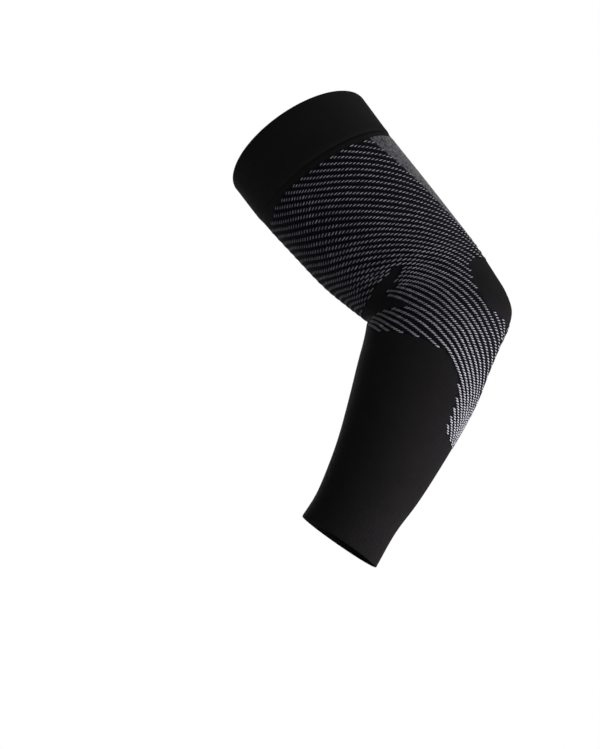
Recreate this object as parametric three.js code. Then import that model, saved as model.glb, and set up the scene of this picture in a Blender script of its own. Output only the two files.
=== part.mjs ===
// Knitted compression arm sleeve in its worn form: a hollow, bent tube of stretch knit that runs from the
// middle of the upper arm, round a bent elbow, to the wrist. It is open at both ends.
// Millimetres and degrees, +Z up. The origin is the centre of the mouth on the upper arm.
import * as THREE from "three";

// Wall thicknesses. The band is two layers, because its knit is turned back on itself.
const KNIT_WALL = 1.2;
const BAND_WALL = 2.2;

// How far the band stands proud of the single knit, and the gap where the two pieces meet.
const BAND_PROUD = 0.6;
const JOIN_GAP = 0.3;

// How the arm holds the sleeve: the plane of the bend turns about the vertical and leans back.
const HOLD_TURN = -14;
const HOLD_LEAN = -17;

// Faceting: corners round the arm, steps between two rows of the section table, and corners of a rounded rim.
const CORNERS_AROUND = 48;
const STEPS_PER_ROW = 3;
const RIM_STEPS = 4;

// Sections across the arm, from the mouth to the hem, drawn in the plane of the bend.
//   crook    the point on the side inside the bend, X then Z
//   elbow    the point on the side outside the bend, X then Z
//   depth    the size across the plane
//   taper    how much narrower the elbow side is than the crook side
//   rise     how far the outer side of the arm lies towards the mouth from the plane's own edge
const SECTIONS = [
  { name: "mouth", crook: [-49, -36], elbow: [49, 37], depth: 106, taper: 0, rise: 5 },
  { name: "band edge", crook: [-24, -66], elbow: [73, 6], depth: 105, taper: 0, rise: -3 },
  { name: "biceps", crook: [2, -93], elbow: [101, -28], depth: 103, taper: 0.02, rise: 0 },
  { name: "lower biceps", crook: [28, -119], elbow: [127, -60], depth: 99, taper: 0.05, rise: 0 },
  { name: "above elbow", crook: [48, -135], elbow: [150, -89], depth: 95, taper: 0.1, rise: 0 },
  { name: "elbow start", crook: [60, -144], elbow: [164.5, -110], depth: 92.5, taper: 0.15, rise: 0 },
  { name: "elbow top", crook: [65, -148], elbow: [174, -125], depth: 91, taper: 0.18, rise: 0 },
  { name: "elbow point", crook: [67, -152], elbow: [179, -139], depth: 90.5, taper: 0.2, rise: 0 },
  { name: "elbow bottom", crook: [66.5, -155.5], elbow: [177, -152], depth: 90, taper: 0.18, rise: 0 },
  { name: "elbow end", crook: [66, -161], elbow: [171, -167], depth: 89.5, taper: 0.14, rise: 0 },
  { name: "below elbow", crook: [64.5, -170], elbow: [163.5, -188], depth: 88.5, taper: 0.1, rise: 0 },
  { name: "forearm", crook: [61.5, -184.5], elbow: [155.5, -212.5], depth: 86, taper: 0.06, rise: 0 },
  { name: "mid forearm", crook: [57, -209.5], elbow: [143, -239.5], depth: 80, taper: 0.04, rise: 0 },
  { name: "lower forearm", crook: [50, -243.5], elbow: [126, -272], depth: 70, taper: 0.02, rise: 0 },
  { name: "wrist", crook: [43, -267.5], elbow: [114, -293], depth: 62, taper: 0, rise: 0 },
  { name: "above hem", crook: [35, -289.5], elbow: [98.5, -316.5], depth: 57, taper: 0, rise: 0 },
  { name: "hem", crook: [25.5, -306.5], elbow: [85, -344], depth: 56, taper: 0, rise: 0 },
];

// Folds pressed into the knit, the same on both sides of the arm.
//   row, climb         the table row of the fold's line at the crook, and the rows it climbs in a quarter turn
//   away, fadeAway     where it is deepest, and how it fades, in degrees from the crook
//   fadeRows, depth    how it fades, in rows, on either side of its line, and how deep it is
const FOLDS = [{ name: "crook crease", row: 7, climb: 2.8, away: 50, fadeAway: 28, fadeRows: 1.1, depth: 2.5 }];

const LAST_ROW = SECTIONS.length - 1;
const rowOf = (name) => SECTIONS.findIndex((section) => section.name === name);

// Smooth curves through one side's points, and through the sizes, of every row of the table.
const curveOf = (pointOf, type) => new THREE.CatmullRomCurve3(SECTIONS.map(pointOf), false, type);
const inPlane = ([x, z]) => new THREE.Vector3(x, 0, z);
const crookLine = curveOf(({ crook }) => inPlane(crook), "centripetal");
const elbowLine = curveOf(({ elbow }) => inPlane(elbow), "centripetal");
const sizeLine = curveOf(({ depth, taper, rise }) => new THREE.Vector3(depth, taper, rise), "catmullrom");

const ACROSS = new THREE.Vector3(0, -1, 0);

// The section at a row of the table, which may lie between two rows: its centre, its half sizes, the direction
// from the crook to the elbow, and the direction along the sleeve, towards the wrist.
function sectionAt(row) {
  const share = row / LAST_ROW;
  const crook = crookLine.getPoint(share);
  const elbow = elbowLine.getPoint(share);
  const size = sizeLine.getPoint(share);
  const outward = elbow.clone().sub(crook);
  const halfWidth = outward.length() / 2;
  outward.normalize();
  return {
    row,
    centre: crook.clone().add(elbow).multiplyScalar(0.5),
    halfWidth,
    halfDepth: size.x / 2,
    taper: size.y,
    rise: size.z,
    outward,
    along: outward.clone().cross(ACROSS),
  };
}

// How deep the folds press the knit in, at a row and an angle of the section.
function foldDepth(row, angle) {
  const away = Math.abs(180 - THREE.MathUtils.radToDeg(angle));
  const bell = (offset, fade) => Math.exp(-((offset / fade) ** 2));
  return FOLDS.reduce((sum, fold) => {
    const line = fold.row - (fold.climb * away) / 90;
    return sum + fold.depth * bell(row - line, fold.fadeRows) * bell(away - fold.away, fold.fadeAway);
  }, 0);
}

// A point of the sleeve's surface. angle is 0 on the elbow side and half a turn on the crook side, out is the
// distance outside the table's outline, and along is a distance towards the wrist.
function surfacePoint(section, angle, out, along) {
  const cos = Math.cos(angle);
  const sin = Math.sin(angle);
  const outside = out - foldDepth(section.row, angle);
  const wide = (section.halfWidth + outside) * cos;
  const deep = (section.halfDepth + outside) * sin * (1 - section.taper * cos);
  return section.centre
    .clone()
    .addScaledVector(section.outward, wide)
    .addScaledVector(ACROSS, deep)
    .addScaledVector(section.along, along - section.rise * sin);
}

// The stations of a rounded rim, from the outer face to the inner one. towards is 1 for a rim at the wrist's
// end of a piece and -1 for one at the mouth's end.
function rimStations(row, outer, wall, towards) {
  const radius = wall / 2;
  return Array.from({ length: RIM_STEPS + 1 }, (_, step) => {
    const turn = (Math.PI * step) / RIM_STEPS;
    return {
      row,
      out: outer - radius + radius * Math.cos(turn),
      along: towards * radius * (Math.sin(turn) - 1),
    };
  });
}

// The stations of a square edge, which stops half a gap short of the piece it meets.
const squareStations = (row, outer, wall, towards) =>
  [outer, outer - wall].map((out) => ({ row, out, along: (-towards * JOIN_GAP) / 2 }));

// The stations of one face of a wall between two rows, without those rows themselves.
function faceStations(fromRow, toRow, out) {
  const steps = Math.abs(toRow - fromRow) * STEPS_PER_ROW;
  return Array.from({ length: steps - 1 }, (_, step) => ({
    row: fromRow + ((toRow - fromRow) * (step + 1)) / steps,
    out,
    along: 0,
  }));
}

// A closed wall round the arm: its stations run down the outer face, round the lower edge, up the inner face
// and round the upper edge, and each station is a ring of corners.
function sleeveWall({ fromRow, toRow, proud, wall, upperEdge, lowerEdge }) {
  const stations = [
    ...faceStations(fromRow, toRow, proud),
    ...lowerEdge(toRow, proud, wall, 1),
    ...faceStations(toRow, fromRow, proud - wall),
    ...upperEdge(fromRow, proud, wall, -1).reverse(),
  ];
  const positions = [];
  for (const { row, out, along } of stations) {
    const section = sectionAt(row);
    for (let corner = 0; corner < CORNERS_AROUND; corner++) {
      const angle = (2 * Math.PI * corner) / CORNERS_AROUND;
      positions.push(...surfacePoint(section, angle, out, along).toArray());
    }
  }
  const faces = [];
  for (let station = 0; station < stations.length; station++) {
    const next = (station + 1) % stations.length;
    for (let corner = 0; corner < CORNERS_AROUND; corner++) {
      const beside = (corner + 1) % CORNERS_AROUND;
      const here = station * CORNERS_AROUND;
      const there = next * CORNERS_AROUND;
      faces.push(here + corner, here + beside, there + corner);
      faces.push(here + beside, there + beside, there + corner);
    }
  }
  const geometry = new THREE.BufferGeometry();
  geometry.setAttribute("position", new THREE.Float32BufferAttribute(positions, 3));
  geometry.setIndex(faces);
  geometry.computeVertexNormals();
  return geometry;
}

function piece(name, geometry, colour, roughness) {
  const material = new THREE.MeshStandardMaterial({ color: colour, roughness, metalness: 0 });
  const mesh = new THREE.Mesh(geometry, material);
  mesh.name = name;
  return mesh;
}

const upperBand = piece(
  "upper_band",
  sleeveWall({
    fromRow: rowOf("mouth"),
    toRow: rowOf("band edge"),
    proud: BAND_PROUD,
    wall: BAND_WALL,
    upperEdge: rimStations,
    lowerEdge: squareStations,
  }),
  "#161618",
  0.85,
);

const sleeveBody = piece(
  "sleeve_body",
  sleeveWall({
    fromRow: rowOf("band edge"),
    toRow: rowOf("hem"),
    proud: 0,
    wall: KNIT_WALL,
    upperEdge: squareStations,
    lowerEdge: rimStations,
  }),
  "#3a3a40",
  0.9,
);

// The sleeve in the plane of its bend, and the arm's hold that leans and turns that plane.
const inBendPlane = new THREE.Group();
inBendPlane.rotation.x = THREE.MathUtils.degToRad(HOLD_LEAN);
inBendPlane.add(upperBand, sleeveBody);

const armSleeve = new THREE.Group();
armSleeve.rotation.z = THREE.MathUtils.degToRad(HOLD_TURN);
armSleeve.add(inBendPlane);

const worn = new THREE.Group();
worn.add(armSleeve);

export default worn;
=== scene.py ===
"""A knitted compression arm sleeve in its worn form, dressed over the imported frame.

The sleeve is a hollow tube of stretch knit that runs round a bent elbow. Its pieces are the turned-back
upper band, the single knit of the body, the raised ribs of the body with their light stitches, and the fine
mesh below the band at the back. Lengths are millimetres unless a docstring says otherwise, and angles are
degrees unless it says radians.
"""

from __future__ import annotations

import logging
import math
from dataclasses import dataclass, field, replace
from enum import Enum
from typing import Any, Sequence, Union

import bpy
import numpy as np
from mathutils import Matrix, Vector

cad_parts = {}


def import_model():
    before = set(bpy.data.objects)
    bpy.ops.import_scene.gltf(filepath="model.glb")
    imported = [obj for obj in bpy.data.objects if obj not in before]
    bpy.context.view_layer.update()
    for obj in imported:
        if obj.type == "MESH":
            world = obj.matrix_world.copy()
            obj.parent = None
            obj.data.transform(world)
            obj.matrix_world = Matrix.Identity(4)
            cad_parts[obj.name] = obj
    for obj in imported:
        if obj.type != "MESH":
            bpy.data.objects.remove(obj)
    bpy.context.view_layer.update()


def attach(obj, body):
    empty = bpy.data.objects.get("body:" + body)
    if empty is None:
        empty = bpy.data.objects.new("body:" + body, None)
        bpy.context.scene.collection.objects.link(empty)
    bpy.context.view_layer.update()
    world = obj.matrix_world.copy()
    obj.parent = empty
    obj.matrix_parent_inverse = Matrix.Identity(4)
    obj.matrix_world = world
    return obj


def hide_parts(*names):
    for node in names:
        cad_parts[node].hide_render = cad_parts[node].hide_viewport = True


LOG = logging.getLogger("arm_sleeve")

MILLIMETRE = 0.001
QUARTER_TURN = 90
BODY = "root"
BLACK = (0.0, 0.0, 0.0)

Colour = tuple[float, float, float]
Place = tuple[float, float, float]
Outline = tuple[tuple[float, float], ...]
Numbers = Union[float, np.ndarray]


class Side(Enum):
    """Which side of the back line a rib runs on. The value is the sign of its angles."""

    NEAR = 1
    FAR = -1


class Spacing(Enum):
    """How a smooth curve spaces its knots. The value is the power of their distance."""

    BY_ROOT = 0.5
    EVEN = 0.0


def unit(vectors: np.ndarray) -> np.ndarray:
    """Brings vectors to a length of one."""
    return vectors / np.linalg.norm(vectors, axis=-1, keepdims=True)


def run_length(path: np.ndarray) -> np.ndarray:
    """Gives the length of a path up to each of its points."""
    steps = np.linalg.norm(np.diff(path, axis=0), axis=1)
    return np.concatenate([[0.0], np.cumsum(steps)])


def columns_of(outline: Outline) -> tuple[np.ndarray, ...]:
    """Splits an outline's points into their first and their second numbers."""
    return tuple(np.array(column) for column in zip(*outline))


def hermite(knots: np.ndarray, values: np.ndarray, where: np.ndarray, steady: bool) -> np.ndarray:
    """Reads a smooth curve through values at rising knots.

    Args:
        knots: The rising places of the values.
        values: One value, or one row of values, for each knot.
        where: The places to read.
        steady: True keeps the curve between neighbouring values, so that it never turns back.

    Returns:
        The curve at each place, held straight beyond the first and last knots.
    """
    spans = np.diff(knots)
    shape = (-1,) + (1,) * (values.ndim - 1)
    slopes = np.diff(values, axis=0) / spans.reshape(shape)
    before, after = slopes[:-1], slopes[1:]
    weight = (spans[1:] / (spans[1:] + spans[:-1])).reshape(shape)
    middle = weight * before + (1 - weight) * after
    if steady:
        product = np.where(before * after > 0, before * after, 0.0)
        middle = 2 * product / np.where(product > 0, before + after, 1.0)
    tangents = np.concatenate([slopes[:1], middle, slopes[-1:]])
    index = np.clip(np.searchsorted(knots, where, side="right") - 1, 0, len(spans) - 1)
    span = spans[index].reshape(shape)
    share = ((where - knots[index]) / spans[index]).reshape(shape)
    inside = np.clip(share, 0, 1)
    start, end = values[index], values[index + 1]
    first, last = tangents[index] * span, tangents[index + 1] * span
    square, cube = inside**2, inside**3
    curve = (2 * cube - 3 * square + 1) * start + (cube - 2 * square + inside) * first
    curve = curve + (3 * square - 2 * cube) * end + (cube - square) * last
    return curve + (share - inside) * np.where(share < 0, first, last)


def inside_outline(outline: Outline, across: np.ndarray, along: np.ndarray) -> np.ndarray:
    """Tells which points lie inside a closed outline.

    Args:
        outline: The corners, in order.
        across: The points' first numbers.
        along: The points' second numbers.

    Returns:
        True for each point inside.
    """
    result = np.zeros(np.broadcast(across, along).shape, bool)
    for (x0, y0), (x1, y1) in zip(outline, outline[1:] + outline[:1]):
        if y0 == y1:
            continue
        crosses = (along >= min(y0, y1)) & (along < max(y0, y1))
        result ^= crosses & (across < x0 + (along - y0) * (x1 - x0) / (y1 - y0))
    return result


@dataclass(frozen=True)
class Section:
    """A section across the arm, drawn in the plane of the bend, with X then Z for its two side points.

    Its depth is its size across that plane. Its taper is the share by which it narrows towards the elbow
    and widens towards the crook, and its rise is how far its near side lies towards the mouth.
    """

    name: str
    crook: tuple[float, float]
    elbow: tuple[float, float]
    depth: float
    taper: float = 0.0
    rise: float = 0.0


SECTIONS = (
    Section("mouth", (-49, -36), (49, 37), 106, 0, 5),
    Section("band edge", (-24, -66), (73, 6), 105, 0, -3),
    Section("biceps", (2, -93), (101, -28), 103, 0.02),
    Section("lower biceps", (28, -119), (127, -60), 99, 0.05),
    Section("above elbow", (48, -135), (150, -89), 95, 0.1),
    Section("elbow start", (60, -144), (164.5, -110), 92.5, 0.15),
    Section("elbow top", (65, -148), (174, -125), 91, 0.18),
    Section("elbow point", (67, -152), (179, -139), 90.5, 0.2),
    Section("elbow bottom", (66.5, -155.5), (177, -152), 90, 0.18),
    Section("elbow end", (66, -161), (171, -167), 89.5, 0.14),
    Section("below elbow", (64.5, -170), (163.5, -188), 88.5, 0.1),
    Section("forearm", (61.5, -184.5), (155.5, -212.5), 86, 0.06),
    Section("mid forearm", (57, -209.5), (143, -239.5), 80, 0.04),
    Section("lower forearm", (50, -243.5), (126, -272), 70, 0.02),
    Section("wrist", (43, -267.5), (114, -293), 62),
    Section("above hem", (35, -289.5), (98.5, -316.5), 57),
    Section("hem", (25.5, -306.5), (85, -344), 56),
)


@dataclass(frozen=True)
class CrookCrease:
    """The fold that the bend presses into the knit, the same on both sides of the crook.

    Its line starts at a row of the section table and climbs some rows in a quarter turn from the crook. It is
    deepest at some degrees away from the crook, and fades over degrees and rows.
    """

    row: float = 7.0
    climb: float = 2.8
    away: float = 50.0
    fade_away: float = 28.0
    fade_rows: float = 1.1
    depth: float = 2.5

    def depth_at(self, row: np.ndarray, angle: np.ndarray) -> np.ndarray:
        """Gives how deep the knit is pressed in.

        Args:
            row: Rows of the section table.
            angle: Angles round the arm, in radians.

        Returns:
            The depth at each point.
        """
        away = np.abs(180 - np.degrees(angle) % 360)
        line = self.row - self.climb * away / QUARTER_TURN
        along = np.exp(-(((row - line) / self.fade_rows) ** 2))
        return self.depth * along * np.exp(-(((away - self.away) / self.fade_away) ** 2))


@dataclass
class SleeveForm:
    """The worn form: the outer face of the knit as a smooth tube through the sections.

    The arm holds the plane of the bend turned about the vertical and leaning back.
    """

    sections: tuple[Section, ...] = SECTIONS
    crease: CrookCrease = field(default_factory=CrookCrease)
    turn: float = -14.0
    lean: float = -17.0
    probe: float = 0.01

    def __post_init__(self) -> None:
        """Sets the table out as arrays."""
        self.crook = np.array([section.crook for section in self.sections], float)
        self.elbow = np.array([section.elbow for section in self.sections], float)
        self.size = np.array([(s.depth, s.taper, s.rise) for s in self.sections], float)
        self.last_row = len(self.sections) - 1

    def _through(self, table: np.ndarray, row: np.ndarray, spacing: Spacing) -> np.ndarray:
        """Reads the smooth curve through a table's rows.

        Args:
            table: One point for each row.
            row: The rows to read, which may lie between two rows.
            spacing: How the curve spaces its knots.

        Returns:
            The curve's points.
        """
        start = np.clip(np.floor(row).astype(int), 0, self.last_row - 1)
        share = (row - start)[:, None]
        wide = np.vstack([2 * table[0] - table[1], table, 2 * table[-1] - table[-2]])
        p0, p1, p2, p3 = (wide[start + step] for step in range(4))
        steps = (p1 - p0, p2 - p1, p3 - p2)
        d0, d1, d2 = (np.linalg.norm(step, axis=1)[:, None] ** spacing.value for step in steps)
        first = ((p1 - p0) / d0 - (p2 - p0) / (d0 + d1) + (p2 - p1) / d1) * d1
        last = ((p2 - p1) / d1 - (p3 - p1) / (d1 + d2) + (p3 - p2) / d2) * d1
        square = -3 * p1 + 3 * p2 - 2 * first - last
        cube = 2 * p1 - 2 * p2 + first + last
        return p1 + first * share + square * share**2 + cube * share**3

    def points(self, row: Numbers, angle: Numbers, out: Numbers = 0.0, along: Numbers = 0.0) -> np.ndarray:
        """Gives points on or near the outer face, in the frame of the part.

        Args:
            row: Rows of the section table, from the mouth to the hem.
            angle: Angles round the arm in radians, 0 at the elbow side and half a turn at the crook.
            out: Distance outside the face.
            along: Distance towards the wrist.

        Returns:
            One point for each place.
        """
        shape = np.broadcast(row, angle, out, along).shape
        places = (np.broadcast_to(value, shape) for value in (row, angle, out, along))
        rows, turns, outs, shifts = (place.astype(float).ravel() for place in places)
        crook = self._through(self.crook, rows, Spacing.BY_ROOT)
        elbow = self._through(self.elbow, rows, Spacing.BY_ROOT)
        depth, taper, rise = self._through(self.size, rows, Spacing.EVEN).T
        outward = elbow - crook
        half = np.linalg.norm(outward, axis=1) / 2
        outward = outward / (2 * half)[:, None]
        wristward = np.stack([outward[:, 1], -outward[:, 0]], axis=1)
        cos, sin = np.cos(turns), np.sin(turns)
        outside = outs - self.crease.depth_at(rows, turns)
        plane = (crook + elbow) / 2 + outward * ((half + outside) * cos)[:, None]
        plane = plane + wristward * (shifts - rise * sin)[:, None]
        x, z = plane.T
        y = -(depth / 2 + outside) * sin * (1 - taper * cos)
        lean, turn = math.radians(self.lean), math.radians(self.turn)
        y, z = y * math.cos(lean) - z * math.sin(lean), y * math.sin(lean) + z * math.cos(lean)
        x, y = x * math.cos(turn) - y * math.sin(turn), x * math.sin(turn) + y * math.cos(turn)
        return np.stack([x, y, z], axis=1).reshape(*shape, 3)

    def normals(self, row: np.ndarray, angle: np.ndarray) -> np.ndarray:
        """Gives the outward directions of the face.

        Args:
            row: Rows of the section table.
            angle: Angles round the arm, in radians.

        Returns:
            One direction for each place.
        """
        round_arm = self.points(row, angle + self.probe) - self.points(row, angle - self.probe)
        down_arm = self.points(row + self.probe, angle) - self.points(row - self.probe, angle)
        return unit(np.cross(round_arm, down_arm))


@dataclass
class KnitPlan:
    """Where the knit changes: the lines of the ribs, and the zones that have none.

    Places are rows of the section table, and degrees round the arm from the elbow side, as on the near
    side. The far side is a mirror image of it in the line down the back of the arm. That line turns a little
    below the elbow, and its turn fades out over the far side.
    """

    # The back line's degrees at two rows, and the degrees beside it over which its turn fades out.
    back_rows: tuple[float, float] = (8.2, 9.4)
    back_lines: tuple[float, float] = (4.0, -6.0)
    turn_fades_over: float = 70.0

    # Ribs are numbered down the arm, and each has the row where it crosses each of the columns. The ribs
    # between these lie smoothly among them. Every path is then smoothed over some degrees, by a window
    # that reaches a few times as far to each side.
    away_columns: tuple[float, ...] = (4, 20, 40, 50, 60, 70, 80, 90, 100, 110, 120, 140, 172, 184)
    rib_lines: tuple[tuple[int, tuple[float, ...]], ...] = (
        (-8, (1.6, 1.38, 1.1, 0.97, 0.82, 0.64, 0.45, 0.25, 0.05, -0.16, -0.37, -0.92, -1.4, -1.46)),
        (0, (3.05, 2.81, 2.5, 2.34, 2.18, 2.01, 1.85, 1.67, 1.49, 1.28, 1.07, 0.63, 0.12, 0.06)),
        (8, (4.75, 4.42, 3.98, 3.77, 3.55, 3.38, 3.18, 3.0, 2.84, 2.68, 2.53, 2.23, 1.75, 1.69)),
        (10, (6.2, 5.5, 4.52, 4.18, 3.93, 3.72, 3.53, 3.35, 3.2, 3.04, 2.89, 2.59, 2.12, 2.06)),
        (12, (8.13, 7.2, 5.5, 4.75, 4.36, 4.1, 3.88, 3.72, 3.56, 3.4, 3.25, 2.95, 2.49, 2.43)),
        (14, (8.66, 8.17, 7.05, 6.05, 5.02, 4.62, 4.31, 4.09, 3.94, 3.81, 3.67, 3.39, 2.88, 2.82)),
        (16, (9.25, 8.87, 8.1, 7.45, 6.55, 5.43, 4.8, 4.5, 4.34, 4.22, 4.09, 3.82, 3.32, 3.26)),
        (18, (9.93, 9.48, 8.79, 8.33, 7.75, 6.95, 5.78, 5.03, 4.72, 4.57, 4.49, 4.32, 3.77, 3.71)),
        (20, (10.68, 10.06, 9.38, 8.95, 8.45, 7.93, 7.13, 6.18, 5.34, 5.03, 5.0, 4.95, 4.3, 4.24)),
        (21, (10.97, 10.33, 9.64, 9.24, 8.83, 8.33, 7.67, 6.91, 6.04, 5.18, 5.1, 5.3, 4.62, 4.56)),
        (22, (11.22, 10.61, 9.89, 9.5, 9.11, 8.68, 8.16, 7.55, 6.77, 5.78, 5.2, 5.7, 5.1, 5.04)),
        (23, (11.44, 10.86, 10.13, 9.76, 9.39, 9.04, 8.58, 8.07, 7.48, 6.64, 5.7, 6.05, 5.8, 5.74)),
        (24, (11.62, 11.09, 10.37, 10.02, 9.67, 9.34, 8.94, 8.5, 7.97, 7.46, 6.8, 6.4, 6.1, 6.04)),
        (26, (11.93, 11.47, 10.84, 10.53, 10.2, 9.94, 9.66, 9.37, 9.0, 8.57, 8.03, 6.9, 6.4, 6.34)),
        (28, (12.23, 11.83, 11.27, 11.04, 10.75, 10.48, 10.2, 9.95, 9.7, 9.45, 9.13, 8.08, 6.75, 6.69)),
        (32, (12.82, 12.52, 12.03, 11.83, 11.55, 11.33, 11.1, 10.9, 10.7, 10.52, 10.35, 10.0, 8.7, 8.6)),
    )
    smooth_over: float = 3.0
    smooth_window: int = 3

    # The ribbed zone's upper and lower edges, and the plain zones inside it, as degrees and then a row.
    upper_edge: Outline = (
        (4, 1.15), (106, 1.15), (122, 1.17), (140, 1.21), (148, 1.28), (184, 1.3),
    )
    forearm_edge: Outline = (
        (4, 12.29), (13, 12.21), (20, 12.17), (26, 12.08), (28.5, 11.94), (29.5, 11.72), (31.5, 11.47),
        (34.5, 11.2), (38.5, 10.92), (42, 10.68), (54, 10.29), (63, 9.99), (66, 9.98), (70, 9.97),
        (86, 9.75), (101, 9.66), (115, 9.55), (131, 9.62), (142, 9.4), (147, 9.2), (184, 9.2),
    )
    leaf: Outline = (
        (92, 4.22), (96, 4.42), (100, 4.56), (103.5, 4.7), (108, 4.9), (107, 5.08), (109.5, 5.22),
        (117.5, 5.22), (124.5, 5.42), (119, 5.98), (113, 6.55), (108, 7.02), (103.5, 7.38), (109, 7.5),
        (118, 7.45), (128, 7.4), (137, 7.6), (144, 7.8), (150, 8.2), (151, 9.5), (190, 9.6), (190, 5.7),
        (160, 5.45), (151.5, 5.3), (141, 5.05), (133.5, 4.88), (122.5, 4.65), (112, 4.5), (103, 4.34),
    )
    elbow_oval: Outline = (
        (-1, 4.4), (18, 4.5), (30, 4.6), (40, 4.75), (46, 5.3), (48.5, 5.8), (48, 6.3), (44, 6.95),
        (38, 7.45), (26, 7.7), (10, 8.02), (-1, 8.12),
    )

    # The edge of the fine mesh on the back of the upper arm, as a row and then degrees.
    wedge_edge: Outline = ((1.0, 41.0), (1.2, 41.0), (3.0, 17.0), (3.9, 4.0))

    def back(self, row: Numbers) -> Numbers:
        """Gives the degrees of the line down the back of the arm at rows."""
        return np.interp(row, self.back_rows, self.back_lines)

    def away(self, row: np.ndarray, angle: np.ndarray) -> np.ndarray:
        """Gives the plan's degrees on either side.

        Args:
            row: Rows of the section table.
            angle: Angles round the arm, in radians.

        Returns:
            The degrees as on the near side, for each place.
        """
        back = self.back(row)
        turned = (np.degrees(angle) - back + 180) % 360 - 180
        bend = 2 * (self.back_lines[0] - back)
        beside = -turned / (1 - bend / self.turn_fades_over)
        beyond = bend - turned
        far = np.where(beside < self.turn_fades_over, beside, beyond)
        return back + np.where(turned >= 0, turned, far)

    def angle(self, row: np.ndarray, away: np.ndarray, side: Side) -> np.ndarray:
        """Gives the angles round the arm of places on one side.

        Args:
            row: Rows of the section table.
            away: The plan's degrees.
            side: The side of the back line.

        Returns:
            The angle of each place, in radians.
        """
        if side is Side.NEAR:
            return np.radians(away)
        back = self.back(row)
        bend = 2 * (self.back_lines[0] - back)
        beside = away - back
        faded = np.clip(beside / self.turn_fades_over, 0, 1)
        return np.radians(back - beside + bend * faded)

    def rib_rows(self, rib: float, away: np.ndarray) -> np.ndarray:
        """Follows one rib round the arm.

        Args:
            rib: The rib's number, which may lie between two ribs.
            away: Evenly spaced degrees of the plan.

        Returns:
            The row where the rib crosses each place.
        """
        numbers = np.array([number for number, _ in self.rib_lines], float)
        table = np.array([rows for _, rows in self.rib_lines], float)
        crossings = hermite(numbers, table, np.array([rib], float), True)[0]
        beyond_last = 2 * self.away_columns[-1] - self.away_columns[-2]
        columns = np.array([*self.away_columns, beyond_last], float)
        rows = hermite(columns, np.append(crossings, crossings[-2]), away, False)
        reach = int(round(self.smooth_window * self.smooth_over / abs(away[1] - away[0])))
        offsets = np.arange(-reach, reach + 1) * self.smooth_window / reach
        window = np.exp(-0.5 * offsets**2)
        first, last = rows[1] - rows[0], rows[-1] - rows[-2]
        head = rows[0] - first * np.arange(reach, 0, -1)
        tail = rows[-1] + last * np.arange(1, reach + 1)
        return np.convolve(np.concatenate([head, rows, tail]), window / window.sum(), mode="valid")

    def wedge(self, row: np.ndarray, away: np.ndarray) -> np.ndarray:
        """Tells which places lie in the fine mesh on the back of the upper arm."""
        rows, edges = columns_of(self.wedge_edge)
        return (away < np.interp(row, rows, edges)) & (row > rows[0]) & (row < rows[-1])

    def ribbed(self, row: np.ndarray, away: np.ndarray) -> np.ndarray:
        """Tells which places have ribs.

        Args:
            row: Rows of the section table.
            away: The plan's degrees.

        Returns:
            True for each place with ribs.
        """
        upper = np.interp(away, *columns_of(self.upper_edge))
        lower = np.interp(away, *columns_of(self.forearm_edge))
        plain = inside_outline(self.leaf, away, row) | inside_outline(self.elbow_oval, away, row)
        return (row > upper) & (row < lower) & ~plain & ~self.wedge(row, away)


Operand = Union["Signal", float]


class Signal:
    """A value in a material's nodes. Arithmetic on it adds Math nodes."""

    def __init__(self, bench: "Bench", socket: bpy.types.NodeSocket) -> None:
        """Wraps an output socket."""
        self.bench = bench
        self.socket = socket

    def _math(self, operation: str, *operands: Operand) -> "Signal":
        """Adds one Math node for an operation on values or links, in order, and gives its result."""
        inputs = dict(enumerate(operands))
        return self.bench.node("ShaderNodeMath", {"operation": operation}, inputs, "Value")

    def __add__(self, other: Operand) -> "Signal":
        """Adds."""
        return self._math("ADD", self, other)

    __radd__ = __add__

    def __sub__(self, other: Operand) -> "Signal":
        """Subtracts."""
        return self._math("SUBTRACT", self, other)

    def __rsub__(self, other: Operand) -> "Signal":
        """Subtracts this from a number."""
        return self._math("SUBTRACT", other, self)

    def __mul__(self, other: Operand) -> "Signal":
        """Multiplies."""
        return self._math("MULTIPLY", self, other)

    __rmul__ = __mul__

    def __abs__(self) -> "Signal":
        """Drops the sign."""
        return self._math("ABSOLUTE", self)

    def fraction(self) -> "Signal":
        """Keeps the part after the point."""
        return self._math("FRACT", self)

    def raised(self, power: float) -> "Signal":
        """Raises a value that isn't negative to a power."""
        return self._math("POWER", self._math("MAXIMUM", self, 0.0), power)

    def clamped(self) -> "Signal":
        """Holds the value between 0 and 1."""
        return self.bench.node("ShaderNodeClamp", {}, {"Value": self, "Min": 0.0, "Max": 1.0}, "Result")


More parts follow.
